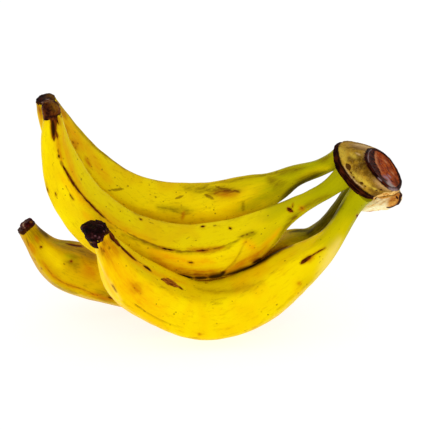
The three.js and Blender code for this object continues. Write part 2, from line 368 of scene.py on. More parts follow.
MIDDLE_MARKS = {
    "scar": [
        (6.4, (54, 112), (54, 120), (54, 127)), (4.6, (53.6, 122), (54, 132)), (3, (53.2, 130), (54, 140)),
        (1.6, (55.6, 130), (57.6, 138)), (1.8, (56, 118), (58.6, 124)), (1.6, (43.5, 120), (47.5, 117.5)),
        (1.8, (57.5, 115), (61, 116.5)), (1.4, (58.5, 155), (59.2, 157.5)),
        (2.2, (63, 166), (66.4, 172), (71.4, 180.3), (76.4, 187.8), (83.4, 196.3)),
        (2.2, (82, 195), (89.2, 202.5), (95.9, 209.6), (101.7, 215), (105, 218)),
        (1.5, (160, 247.3), (166.4, 249.1), (173.6, 250.4)), (1.6, (197, 251), (207.5, 250)),
        (0.9, (70, 194.5), (73.6, 199.8)), (1.4, (46.8, 187.8), (48.4, 192.5)),
        (0.9, (55.3, 192.7), (56.2, 196.3)), (1.8, (140, 218.5), (141.6, 220)),
        (2, (201, 226.3), (204.3, 226.3)), (1.8, (229.4, 227.4), (231, 229)),
        (1.4, (188.3, 262.2), (193, 262.8)), (3, (287.5, 208), (289.5, 209.7), (292.5, 211.5)),
        (0.7, (292.8, 203.5), (292.5, 208)),
    ],
    # painted shadow where the front fruit meets this one; the first stroke is a real dark streak below the
    # tip
    "contact_shadow_and_streak": [
        (4.4, (52.4, 119), (53.4, 127), (53.6, 137)), (6, (218, 277), (221.5, 274.5), (225, 271.5)),
        (3.4, (178, 274.6), (194, 278)), (5, (252.6, 263.4), (262, 258)),
        (5, (194, 277.6), (200, 278), (208, 277.6)), (8.4, (208, 277.4), (216, 276.4), (224, 274.8)),
        (7.6, (222, 276), (232, 273.4), (241, 270.4), (251, 266.2), (261, 260.4), (271, 253.2),
         (280, 245.6)),
    ],
    "bruise": [
        (2, (56.6, 133), (58, 137)), (1.5, (58, 120.6)), (1.4, (58, 149), (58.4, 153)),
        (2.4, (60.6, 161), (63, 166.5)), (1.1, (103, 216), (109.3, 222), (118, 228), (128, 233)),
        (1.9, (126, 232), (134, 236.5), (140.5, 239.3), (153, 244.6), (160, 247)),
        (1.9, (172, 250.3), (181.6, 251.8), (198, 251)),
        (1.2, (207, 250), (218.2, 248.2), (227, 244.6), (236, 241)), (1.8, (241, 236.8), (244.4, 235)),
        (2.4, (247, 234.2)), (1.6, (251, 232.8), (253.4, 232)), (0.9, (65.6, 185.5), (68, 190), (70, 194.5)),
        (2.2, (81.4, 179.5)), (1.4, (63.5, 158.5)), (1.6, (128, 211.6)), (1.6, (129.8, 220.5)),
        (1.2, (149, 222), (154, 224)), (2.4, (213, 225.2), (216, 225.6)), (1, (186.5, 239), (190, 236.5)),
        (1.4, (195.9, 240.2)), (1.3, (177, 246.4)), (1.2, (221.3, 256.3)), (1.6, (300.5, 207), (303, 209)),
        (2.6, (291.7, 219.5), (297.4, 216)), (1.5, (268, 215.5)), (1.2, (260.7, 211)), (1.3, (246, 242)),
        (1.2, (250, 245.5)), (1.2, (254.5, 248)),
    ],
    # the two wide strokes along the lower edge are painted shade where the front fruit meets this one; the
    # others are real orange patches
    "flush": [
        (5, (299.7, 206.5), (304, 210.4)), (10, (224, 272), (240, 265), (254, 256), (268, 246)),
        (8, (152, 256), (166, 266), (184, 271), (204, 272), (222, 269)),
        (4.5, (57.5, 138), (59, 150), (62, 163)), (4, (59, 118), (61, 125)),
        (6, (188, 249), (205, 250), (224, 247.6)),
    ],
    "warm": [
        (8, (244, 241), (255, 249)), (14, (150, 250), (170, 257), (190, 261), (212, 262)),
        (8, (62, 176), (70, 187), (80, 197), (92, 208)), (6, (66, 150), (74, 168)),
        (7, (84, 212), (96, 226)), (13, (98, 212), (118, 226), (140, 237), (152, 243)),
        (9, (61, 128), (66, 150), (74, 176), (84, 194)), (5, (280, 228), (272, 238), (262, 246)),
    ],
    "fold": [(2.2, (246.5, 240), (242.7, 247), (238.4, 256.3), (234, 262.8), (226.5, 269.3), (222, 273))],
    # painted brown shade along the lower edge where the front fruit meets this one
    "rust": [
        (5, (176, 271), (192, 274.4), (208, 275), (222, 272.6)), (6, (251, 262), (262, 256), (272, 248)),
    ],
    # painted light: lifts skin that lies in shade
    "painted_light": [(12, (238, 230), (252, 228), (264, 224))],
    # mostly painted shade along the stalk and the lower edge, with one real olive blotch
    "shadow_and_olive_patch": [
        (6, (264, 208), (278, 202), (292, 195)),
        (4, (122, 234), (140, 241), (160, 248), (182, 252.5), (205, 252), (228, 246), (240, 239)),
        (6, (240, 237), (248, 234.5), (256, 233)), (4, (294, 215), (286, 226), (279, 238), (270, 248)),
        (6, (299, 210), (314, 202), (330, 195)), (6, (284, 231), (291, 220), (300, 212)),
    ],
}
FRONT_MARKS = {
    "flush": [
        (14, (101, 242), (106, 252), (111, 261)), (11, (107, 236), (112, 246), (118, 256)),
        (12, (103, 246), (108, 258)), (14, (101, 234), (108, 242), (118, 252)), (5, (104, 236), (107, 243)),
        (9, (132.5, 284), (140, 292)), (3, (133, 286), (137.5, 290)), (3, (199.4, 334.3)), (4, (299, 283.4)),
        (5, (306, 262), (314, 256)),
    ],
    "rust": [(4, (103.5, 240), (105, 246)), (3, (101, 247), (103, 255)), (9, (100, 233), (106, 232))],
    "warm": [
        (22, (112, 262), (124, 282), (140, 298), (160, 308)),
        # the next stroke, of width 8, lightens a band that lies in the other fruits' shade: painted light
        (8, (122, 252), (140, 265), (160, 275), (184, 283)), (10, (107, 262), (108, 280), (113, 294)),
    ],
    # painted light: lifts skin that lies in shade
    "painted_light": [
        (8, (190, 284), (206, 286), (226, 283)), (18, (296, 276), (308, 268), (316, 256)),
        (18, (236, 298), (256, 300)),
    ],
    # painted shadow where the middle fruit lies on this one
    "contact_shadow_and_streak": [(11, (246, 269.2), (256, 263.8), (265, 258.7), (273, 253.6), (282, 248.2), (290, 246.1))],
    # painted shadow along the stalk's inner side, by the gap
    "deep_painted_shadow": [(7, (345, 199.6), (341, 206), (336.6, 212), (330.6, 219), (323.6, 225.6), (316, 230.6))],
    "bruise": [
        (2, (108.8, 246.5), (110, 249.5)), (1.6, (103.6, 250), (104.6, 252)),
        (1.3, (135, 259), (143.2, 264.4)), (1.2, (153, 274)), (1.5, (157.3, 279.7)),
        (0.9, (134, 303.5), (145.2, 311.8)), (1.2, (134.5, 288)), (1.2, (140.5, 293.6)),
        (1.6, (126.3, 265.9)), (1.3, (243.3, 283.4)), (1.6, (285, 260.6)), (1.4, (174, 314)),
        (1.2, (176, 312)), (1.1, (163, 316.4)), (1.2, (170, 325)), (1.2, (184.2, 324)),
        (1.4, (216.7, 323.5)), (1.2, (261.2, 311.6)), (1.4, (276.9, 305)), (1.2, (298, 293)),
    ],
    "scar": [
        (7.5, (108, 230), (112, 236), (116, 241)), (5.2, (114, 238.6), (120.4, 246)),
        (3.4, (119, 244.4), (125, 250.6), (130, 255.2), (136, 260.2)),
        (3, (144, 266), (147.5, 268), (151, 271)), (2.4, (176, 284.8), (179, 286.8), (182.5, 289.3)),
        (0.9, (112, 284.6), (116.4, 291.8)), (3, (301, 263.6), (306, 259.5), (311, 256)),
        (1, (309, 257.3), (320, 250.8), (325, 248)), (1.8, (356.8, 215), (357.6, 217)),
    ],
    "torn": [(8.5, (162.5, 279.5), (170, 282), (178.5, 286.5))],
    "fold": [
        # the wide first fold darkens the band where the top facet turns from the light: painted shade over a
        # shallow dent; the thin one is a real crease
        (11, (196, 287), (208, 289.6), (224, 290), (246, 287), (262, 282)),
        (1.2, (133.3, 303), (145.2, 311.6), (160, 320), (180, 328)),
    ],
    # painted highlights along the lit edges
    "painted_highlight": [
        (3.2, (95, 248), (98, 258), (103, 270), (111, 284), (121, 300)),
        (9, (318, 275), (330, 258), (340, 240)),
    ],
}
BACK_MARKS = {
    # painted shadow near the tip's edge and on the stalk behind the front fruit
    "deep_painted_shadow": [
        (10, (36.8, 225.6), (41, 230.4), (45, 234.2), (49.4, 237.4)),
        (24, (348, 191), (343, 201), (337, 211), (328, 220), (317, 229), (308, 232)),
        (14, (316, 230), (306, 233)), (6, (312, 229), (300, 230.5), (290, 232)),
    ],
    "moss": [(9, (53, 242), (64, 243), (76, 244)), (12, (300, 233), (312, 236)), (8, (66, 256), (78, 258))],
    # painted shade on the tip, on the stalk behind the front fruit and where the front fruit shadows this
    # one
    "shadow_and_olive_patch": [
        (5, (53, 240), (64, 241.5), (78, 243)),
        (20, (342, 200), (334, 215), (322, 229), (304, 237), (288, 243)),
        (12, (30, 229), (34, 236), (38, 243)), (12, (60, 245), (78, 250)),
        (8, (50, 281), (60, 288), (76, 294)), (11, (98, 292), (114, 302)),
        (12, (72, 248), (84, 252), (94, 257)), (10, (68, 262), (80, 264)), (4, (71.3, 262)),
    ],
    # painted shadow where the other fruits meet this one
    "contact_shadow_and_streak": [
        (3.2, (66, 243.5), (74, 245.5), (82, 247)), (5, (300, 246), (288, 251), (276, 256)),
        (9, (240, 274), (252, 269), (264, 262), (276, 254), (286, 248)),
    ],
    # painted light: lifts skin that lies in shade
    "painted_light": [(13, (47, 247), (54, 258), (62, 268))],
    "scar": [
        (1.9, (69, 243.8), (76, 245.2), (82.5, 246)), (1.9, (41, 247)), (1.2, (34.7, 259.6)),
        (1.3, (41.4, 268.6)), (1.9, (71.3, 261.4)), (1.5, (107.5, 297), (113.7, 298.4)),
    ],
    "flush": [
        (4, (35.5, 236), (38.5, 243)), (7, (29, 243), (35, 254)),
        (4, (42.3, 261.4), (46.8, 268.6), (53, 275.7), (60.2, 281), (70, 285.5), (86, 290.4)),
        (12, (86, 266), (94, 277)), (5, (84, 291), (98, 296), (112, 301)),
    ],
    "bruise": [
        (1.4, (26, 237), (29, 246)), (1.6, (64.2, 264)),
        (1, (45, 266), (53, 275.7), (60.2, 281), (70, 285.5), (86, 290.4), (94, 294.5)),
    ],
}
FRUIT_MARKS = {"upper": UPPER_MARKS, "middle": MIDDLE_MARKS, "front": FRONT_MARKS, "back": BACK_MARKS}

CRISP_KINDS = ("scar", "bruise", "torn", "cork")  # stored as their depth in mm, and the others as a share
PEEL_KINDS = ("scar", "bruise", "torn", "painted_light", "warm", "moss", "flush", "rust", "shadow_and_olive_patch", "contact_shadow_and_streak",
              "deep_painted_shadow", "painted_highlight", "fold")
MARK_DEEPEST = 3  # mm
FAR = 1e3  # more than any distance on the part in mm, or in the picture in pixels


def grid_faces(rings, sides):
    corner = np.arange(rings * sides).reshape(rings, sides)
    turned = np.roll(corner, -1, axis=1)
    return np.stack([corner[:-1], turned[:-1], turned[1:], corner[1:]], axis=-1).reshape(-1, 4).tolist()


def seen_point(tree, x, y):
    """The skin's point at a pixel, or the nearest to its sight line where the line passes it by."""
    start, direction = sight_line(x, y)
    hit = tree.ray_cast(start, direction)[0]
    if hit is None:
        places = CAMERA_DISTANCE / MM + np.arange(-SEARCH_REACH, SEARCH_REACH, SEARCH_STEP)
        nearest = [tree.find_nearest(start + direction * place) for place in places]
        hit = min(nearest, key=lambda found: found[3])[0]
    return np.array(hit)


def to_segment(points, a, b):
    """Where each point is nearest to a segment, as a share of its length, and how far away it is."""
    t = np.clip((points - a) @ (b - a) / ((b - a) @ (b - a)), 0, 1)
    return t, np.linalg.norm(points - a - t[..., None] * (b - a), axis=-1)


def depth_in_stroke(points, path, width):
    """How deep inside a stroke's edge points are, in mm. A stroke narrows towards its ends."""
    if len(path) == 1:
        return width / 2 - np.linalg.norm(points - path[0], axis=-1)
    lengths = np.concatenate([[0], np.cumsum(np.linalg.norm(np.diff(path, axis=0), axis=1))])
    deepest = np.full(points.shape[:-1], -FAR)
    for i, (a, b) in enumerate(zip(path[:-1], path[1:])):
        t, gap = to_segment(points, a, b)
        share = (lengths[i] + t * (lengths[i + 1] - lengths[i])) / lengths[-1]
        half = width / 2 * (1 - 0.6 * np.abs(2 * share - 1) ** 3)
        deepest = np.maximum(deepest, half - gap)
    return deepest


def far_side_marks(surface):
    """A few seeded scars and spots on the side away from the picture, where none is known."""
    draw = np.random.default_rng(surface["seed"] + 5)
    points = surface["points"]
    marks = []
    while len(marks) < FAR_SIDE_MARKS:
        ring = int(draw.uniform(0.15, 0.95) * FRUIT_RINGS)
        side = int(draw.uniform(0, FRUIT_SIDES))
        if math.sin(surface["angle"][ring, side]) > -0.15:
            continue
        run = int(draw.exponential(6))
        last_ring = min(ring + run, FRUIT_RINGS - 1)
        last_side = (side + int(draw.normal(0, 2))) % FRUIT_SIDES
        kind = "scar" if draw.random() < 0.3 else "bruise"
        path = [points[ring, side], points[last_ring, last_side]]
        marks.append((kind, draw.uniform(0.9, 1.9), path if run > 1 else path[:1]))
    return marks


def placed_marks(points, table):
    """A table's marks as (kind, width, line), with the lines as points of the skin in mm."""
    tree = BVHTree.FromPolygons(points.reshape(-1, 3).tolist(), grid_faces(*points.shape[:2]))
    return [(kind, width, [seen_point(tree, *pixel) for pixel in pixels])
            for kind, strokes in table.items() for width, *pixels in strokes]


def mark_fields(points, table, kinds, more=()):
    """Every kind of mark as a field over the skin's grid, from a table and from more placed marks."""
    empty = {kind: -float(MARK_DEEPEST) if kind in CRISP_KINDS else 0.0 for kind in kinds}
    fields = {kind: np.full(points.shape[:2], value) for kind, value in empty.items()}
    for kind, width, path in [*placed_marks(points, table), *more]:
        path = np.array(path)
        reach = 2 * width + 4
        close = np.all((points > path.min(0) - reach) & (points < path.max(0) + reach), axis=-1)
        field, depth = fields[kind], depth_in_stroke(points[close], path, width)
        if kind in CRISP_KINDS:
            field[close] = np.maximum(field[close], np.clip(depth, -MARK_DEEPEST, MARK_DEEPEST))
        else:
            share = np.exp(-(np.maximum(width / 2 - depth, 0) / (width / 2)) ** 2)
            field[close] = np.maximum(field[close], share)
    return fields


# ---------------- meshes

def grid_mesh(name, points):
    """A mesh in metres through a grid of rings in mm, its ends closed by fans."""
    rings, sides = points.shape[:2]
    vertices = np.vstack([points.reshape(-1, 3), points[0].mean(0), points[-1].mean(0)])
    first, last = rings * sides, rings * sides + 1
    fans = []
    for side in range(sides):
        following = (side + 1) % sides
        fans.append([first, following, side])
        fans.append([last, last - 1 - sides + side, last - 1 - sides + following])
    mesh = bpy.data.meshes.new(name)
    mesh.from_pydata((vertices * MM).tolist(), [], grid_faces(rings, sides) + fans)
    mesh.shade_smooth()
    return mesh


def store(mesh, fields):
    """Fields over the grid, one or three numbers a place, as attributes of the mesh's points."""
    for name, values in fields.items():
        values = np.asarray(values, np.float32)
        kind, member = ("FLOAT_VECTOR", "vector") if values.ndim == 3 else ("FLOAT", "value")
        ends = np.stack([values[0].mean(0), values[-1].mean(0)])
        flat = np.concatenate([values.reshape(-1, *values.shape[2:]), ends])
        mesh.attributes.new(name, kind, "POINT").data.foreach_set(member, flat.ravel())


def add_piece(name, mesh, material, slot, *nodes):
    piece = put(name, mesh)
    mesh.materials.append(material)
    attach(piece, "root")
    if nodes:
        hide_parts(*nodes)


# ---------------- materials

def linear(colour):
    """A colour such as "#f4d204" as the shader's numbers."""
    parts = [int(colour[i:i + 2], 16) / 255 for i in (1, 3, 5)]
    return [p / 12.92 if p <= 0.04045 else ((p + 0.055) / 1.055) ** 2.4 for p in parts] + [1]


class Finish:
    """A node material with a Principled shader, and short calls that add nodes to it."""

    def __init__(self, name, **constants):
        self.material = bpy.data.materials.new(name)
        self.material.use_nodes = True
        self.tree = self.material.node_tree
        self.shader = self.tree.nodes["Principled BSDF"]
        self.colour = (0, 0, 0, 1)  # the colour so far
        for socket, value in constants.items():
            self.shader.inputs[socket.replace("_", " ")].default_value = value

    def node(self, kind, settings=None, **inputs):
        made = self.tree.nodes.new(kind)
        for key, value in (settings or {}).items():
            setattr(made, key, value)
        for socket, value in inputs.items():
            self.set(made.inputs[int(socket[1:]) if socket[1:].isdigit() else socket], value)
        return made

    def set(self, socket, value):
        if isinstance(value, bpy.types.NodeSocket):
            self.tree.links.new(value, socket)
        else:
            socket.default_value = value

    def field(self, name, output="Fac"):
        return self.node("ShaderNodeAttribute", {"attribute_name": name}).outputs[output]

    def place(self):
        return self.node("ShaderNodeTexCoord").outputs["Object"]

    def math(self, operation, a, b):
        return self.node("ShaderNodeMath", {"operation": operation}, _0=a, _1=b).outputs[0]

    def times(self, a, b):
        return self.math("MULTIPLY", a, b)

    def plus(self, a, b, share=1):
        """a plus a share of b."""
        return self.math("ADD", a, b if share == 1 else self.times(b, share))

    def scaled(self, vector, scale):
        return self.node("ShaderNodeVectorMath", {"operation": "MULTIPLY"}, _0=vector, _1=scale).outputs[0]

    def noise(self, vector, size, detail=2.0, roughness=0.55):
        """Noise from 0 to 1 with features of about size, in the vector's own units."""
        return self.node("ShaderNodeTexNoise", Vector=vector, Scale=1 / size, Detail=detail,
                         Roughness=roughness).outputs["Fac"]

    def between(self, value, low, high, to_low=0.0, to_high=1.0):
        """value taken from low..high to to_low..to_high, smoothly, and held there past the ends."""
        return self.node("ShaderNodeMapRange", {"interpolation_type": "SMOOTHSTEP"}, Value=value,
                         _1=low, _2=high, _3=to_low, _4=to_high).outputs[0]

    def specks(self, vector, size, bare, largest, softness):
        """Round specks up to a largest radius in cells of a size, and none in the bare share of them."""
        cells = self.node("ShaderNodeTexVoronoi", Vector=vector, Scale=1 / size)
        draw = self.node("ShaderNodeSeparateColor", _0=cells.outputs["Color"]).outputs[0]
        radius = self.between(draw, bare, 1, 0, largest)
        return self.between(self.plus(radius, cells.outputs["Distance"], -1), -softness, softness)

    def mix(self, share, a, b):
        a, b = (linear(c) if isinstance(c, str) else c for c in (a, b))
        return self.node("ShaderNodeMix", {"data_type": "RGBA"}, _0=share, _6=a, _7=b).outputs[2]

    def cover(self, share, colour):
        """Covers a share of the colour so far with another colour."""
        self.colour = self.mix(share, self.colour, colour)

    def tint(self, kind, share, colour):
        """Covers a share of the colour so far, where marks of a kind are."""
        self.cover(self.times(self.field(kind), share), colour)

    def bump(self, height, distance, strength):
        made = self.node("ShaderNodeBump", Height=height, Distance=distance, Strength=strength)
        self.tree.links.new(made.outputs[0], self.shader.inputs["Normal"])

    def done(self, roughness):
        self.set(self.shader.inputs["Base Color"], self.colour)
        self.set(self.shader.inputs["Roughness"], roughness)
        return self.material


# Among these, the light and highlight kinds are painted light, the deep and contact kinds painted shadow,
# and the shade kind mostly painted shade.
PEEL_TINTS = (  # kind, colour, and the least and most of it that shows
    ("painted_highlight", "#ffe484", 0.4, 0.6), ("painted_light", "#fce002", 0.5, 0.8), ("warm", "#f4a804", 0.4, 0.8),
    ("moss", "#aaa804", 0.5, 0.8), ("shadow_and_olive_patch", "#806604", 0.4, 0.9), ("flush", "#c47004", 0.5, 0.9),
    ("rust", "#7c3404", 0.3, 0.95), ("deep_painted_shadow", "#2c2402", 0.8, 0.95), ("fold", "#8a5f08", 0.3, 0.5),
)


def peel(name, fresh, ripe, shaded):
    """Ripe plantain peel: yellow that goes green at the stalk, with specks, bruises and scars. Some marks
    paint light, highlights and shade into it.
    """
    f = Finish(name, Specular_IOR_Level=0.08, Specular_Tint=(1, 0.85, 0.04, 1))
    straight = f.field("straight", "Vector")
    streaks = f.scaled(straight, (0.3, 1, 1))
    tone = f.noise(straight, 34)
    mottle = f.noise(streaks, 2.6, 5, 0.65)
    f.colour = f.mix(f.between(tone, 0.38, 0.68), fresh, ripe)
    f.cover(f.between(mottle, 0.5, 0.78, 0, 0.65), shaded)
    f.cover(f.between(f.noise(straight, 7, 4, 0.7), 0.56, 0.8, 0, 0.35), shaded)

    green = f.plus(f.field("green"), f.plus(tone, -0.5), 0.5)
    green = f.plus(green, f.plus(mottle, -0.5), 0.25)
    f.cover(f.between(green, 0.1, 0.6), "#ccbc02")
    f.cover(f.between(green, 0.5, 1.1), "#aca602")
    for kind, colour, least, most in PEEL_TINTS:
        f.tint(kind, f.between(mottle, 0.3, 0.7, least, most), colour)

    f.cover(f.times(f.specks(straight, 5.5, 0.54, 0.13, 0.03), 0.7), "#6b4c08")
    dusty = f.between(f.noise(straight, 12), 0.42, 0.65, 0, 0.6)
    f.cover(f.times(f.specks(streaks, 1.7, 0.66, 0.22, 0.06), dusty), "#7a5c08")
    worn = f.between(f.noise(streaks, 5, 4, 0.7), 0.48, 0.7)
    wear = f.times(f.between(f.field("ridge"), 0.86, 1), worn)
    f.cover(f.times(wear, 0.45), "#8a5a0a")

    ragged = f.times(f.plus(f.noise(streaks, 1.2, 4, 0.7), -0.5), 3.2)
    fibres = f.between(f.noise(f.scaled(straight, (0.25, 1, 1)), 1.5, 4, 0.7), 0.38, 0.62)
    bruise = f.between(f.plus(f.field("bruise"), ragged), -0.5, 0.7)
    f.cover(f.times(bruise, 0.66), "#6a3a06")
    halo = f.between(f.plus(f.field("scar"), ragged), -1.8, 0.2, 0, 0.6)
    f.cover(halo, "#a05c06")
    scar = f.between(f.plus(f.field("scar"), ragged, 0.6), -0.25, 0.35)
    f.cover(scar, f.mix(fibres, "#2a0402", "#7a3008"))
    torn = f.between(f.plus(f.field("torn"), ragged, 1.6), -0.2, 0.8)
    f.cover(torn, f.mix(fibres, "#4a1604", "#c8761c"))
    # Painted shadow where fruits touch, in two steps from brown to near black; one mark is a real dark
    # streak instead.
    f.cover(f.between(f.field("contact_shadow_and_streak"), 0, 0.5, 0, 0.7), "#8a4404")
    f.cover(f.between(f.field("contact_shadow_and_streak"), 0.3, 0.95, 0, 0.95), "#200804")
    husk = f.between(f.plus(f.field("husk"), ragged, 0.5), -0.5, 0.4)
    f.cover(husk, f.mix(fibres, "#1c0606", "#4a1c0c"))

    damage = f.math("MAXIMUM", scar, torn)
    height = f.plus(f.times(mottle, 0.5), f.noise(straight, 0.9, 3), 0.3)
    height = f.plus(height, f.times(damage, f.between(fibres, 0, 1, 0.8, 0.2)), -1)
    f.bump(height, 0.00035, 0.6)
    return f.done(f.plus(f.between(mottle, 0.2, 0.8, 0.42, 0.56), damage, 0.25))


# ---------------- pieces: the fruits

PEELS = {
    "upper": ("#fadc04", "#eec404", "#b89c04"),
    "middle": ("#f6dc02", "#eec804", "#c8a404"),
    "front": ("#fadc02", "#f8c802", "#d8a804"),
    # the back fruit's colours are darker partly as painted shade, since it lies behind and under the others
    "back": ("#dab402", "#cc9a04", "#967404"),
}
GREEN_REACH = {"upper": 0.42, "middle": 0.4, "front": 0.33, "back": 0.42}  # share of the length


def greenness(surface):
    """How green the skin is: the stalk and the neck are, and the rest hardly."""
    share = surface["share"]
    patches = 0.05 * waves(surface["straight"], 50, surface["seed"] + 7)
    reach = GREEN_REACH[surface["name"]]
    return smooth_step(reach, 0.12, share + patches) * (0.75 + 0.4 * smooth_step(0.2, 0.02, share))


def add_fruit(name):
    surface = fruit_surface(name)
    fields = mark_fields(surface["points"], FRUIT_MARKS[name], PEEL_KINDS, far_side_marks(surface))
    rough = waves(surface["straight"], 2.4, surface["seed"] + 9)
    hurt = smooth_step(-0.3, 0.6, fields["scar"]) + smooth_step(-0.2, 0.8, fields["torn"])
    relief = -hurt * (SCAR_DEPTH + 0.15 * rough) - FOLD_DEPTH * fields["fold"] ** 2
    relief -= BRUISE_DEPTH * smooth_step(-0.3, 0.6, fields["bruise"])
    relief += (HUSK_HEIGHT + 0.3 * rough) * smooth_step(-0.5, 0.5, surface["husk"])
    points = surface["points"] + relief[..., None] * surface["out"]
    points[..., 2] = np.maximum(points[..., 2], 0)
    mesh = grid_mesh("finger_" + name, points)
    store(mesh, fields)
    store(mesh, {layout: surface[layout] for layout in ("straight", "ridge", "husk")})
    store(mesh, {"green": greenness(surface)})
    add_piece("skin_" + name, mesh, peel("peel_" + name, *PEELS[name]), "ripe_skin", "finger_" + name)
    return surface


# ---------------- pieces: the dried blossom ends

BLOSSOM_RINGS = 90
BLOSSOM_SIDES = 160
BLOSSOM_BLUNT = 0.92  # the dome stops at this share of its quarter turn
BLOSSOM_FOOT = -0.12  # where the rings start, inside the fruit, on a scale of its own
BLOSSOM_FOOT_SCALE = 14  # mm
# First what the part's source has too, with somewhat other values (the middle one is 3.6 mm longer):
# length, swelling over the fruit's end, height of the lumps and lean. Then how far the dried husk is to
# one side at its foot, how wide its foot is next to the fruit's end, how late its top rounds off, its
# warts' count, smallest and largest radius in mm and height over radius, and how much it slants up
# towards its outer side.
BLOSSOM_ENDS = {
    "upper": {"length": 3.8, "bulge": 1, "lumps": 0.05, "lean": (0.2, 0, 0), "foot": (-0.2, 0, 0),
              "girth": 0.88, "roundness": 2.6, "warts": (50, 0.6, 1.8, 0.25)},
    "middle": {"length": 12.6, "bulge": 1, "lumps": 0.03, "lean": (-1.8, 0, 0), "foot": (-0.4, 0, 0),
               "girth": 0.97, "roundness": 2.2, "warts": (60, 0.6, 2.0, 0.2)},
    "front": {"length": 15, "bulge": 1.0, "lumps": 0.05, "lean": (-2.9, 0, 3.2), "foot": (-3.6, 0, 0.6),
              "girth": 0.9, "roundness": 5, "warts": (150, 0.8, 2.2, 0.5), "tilt": 0.4},
    "back": {"length": 4, "bulge": 0.8, "lumps": 0.04, "lean": (2.0, 0, 0.8), "foot": (1.4, 0, 0.4),
             "girth": 0.9, "roundness": 2.6, "warts": (50, 0.7, 1.8, 0.3)},
}
# dark, mid, and a light colour that paints highlights on the warts' tops and the glints
BLOSSOM_COLOURS = {
    "upper": ("#0a0203", "#340c06", "#b09080"),
    "middle": ("#200302", "#6e3406", "#a87818"),
    "front": ("#050102", "#2c080a", "#7a4c50"),
    "back": ("#1c0306", "#480e0e", "#e0b890"),
}
# the thin light lines among these marks are painted glints
BLOSSOM_MARKS = {
    "upper": {
        "painted_gleam": [(1.4, (40.5, 103), (45, 101.6), (49, 99))],
        "tan": [(5, (47, 95), (54, 98.5))],
    },
    "middle": {
        "tan": [(5.5, (51, 101), (53.5, 106), (56, 111)), (5, (55, 103), (58, 109))],
        "painted_gleam": [(1, (42.5, 104), (46, 102.3), (50.5, 99))],
        "pit": [
            (3.2, (51.2, 105.5), (51.6, 108)), (2.8, (54.4, 100.5), (55.2, 103.2)),
            (8, (46, 104.5), (47.4, 110), (48.6, 116)),
            (3.6, (46, 117.5), (52, 116.5), (58, 115.5), (62, 114.5)),
        ],
    },
    "front": {
        "tan": [(1.8, (89, 242), (92, 242.6)), (1.8, (106.5, 231), (108, 232))],
        "painted_gleam": [
            (1.4, (94.5, 235.5), (96, 236.5)), (1.2, (99, 236.5), (100, 238)),
            (1.1, (103.5, 230.5), (104.5, 232)), (1.1, (88, 223.5), (89.5, 222.8)),
            (1.2, (96.5, 224), (98, 224.6)), (1, (92.5, 226), (94, 226.5)), (1, (102, 225), (103, 226.5)),
        ],
        "pit": [(6, (84, 231), (92, 230), (100, 230))],
    },
    "back": {
        "painted_gleam": [(2, (23, 225), (26, 222))],
        "tan": [(1.6, (30, 222), (32.4, 222))],
    },
}
BLOSSOM_KINDS = ("tan", "painted_gleam", "pit")


def dried(name, dark, mid, light):
    """Dried husk: lumpy and dark, paler on the warts, with painted highlights on their tops and painted
    glints.
    """
    f = Finish(name, Specular_IOR_Level=0.04, Specular_Tint=(1, 0.75, 0.65, 1))
    place = f.place()
    lumps = f.noise(place, 0.004, 4, 0.7)
    grit = f.noise(place, 0.0011, 3, 0.7)
    raised = f.plus(f.field("wart"), f.plus(grit, -0.5), 0.8)
    f.colour = f.mix(f.between(lumps, 0.4, 0.6), dark, mid)
    f.cover(f.between(raised, 0.3, 0.9, 0, 0.5), mid)
    # painted highlight on the warts' tops
    f.cover(f.between(raised, 0.75, 1.2, 0, 0.55), light)
    f.tint("tan", f.between(grit, 0.3, 0.6, 0.4, 0.95), "#8a5c14")
    f.tint("pit", 0.8, dark)
    # painted glints
    f.tint("painted_gleam", f.between(grit, 0.3, 0.5, 0.3, 0.9), light)
    f.bump(f.plus(lumps, grit, 0.5), 0.0007, 0.9)
    return f.done(f.between(grit, 0.3, 0.7, 0.35, 0.7))


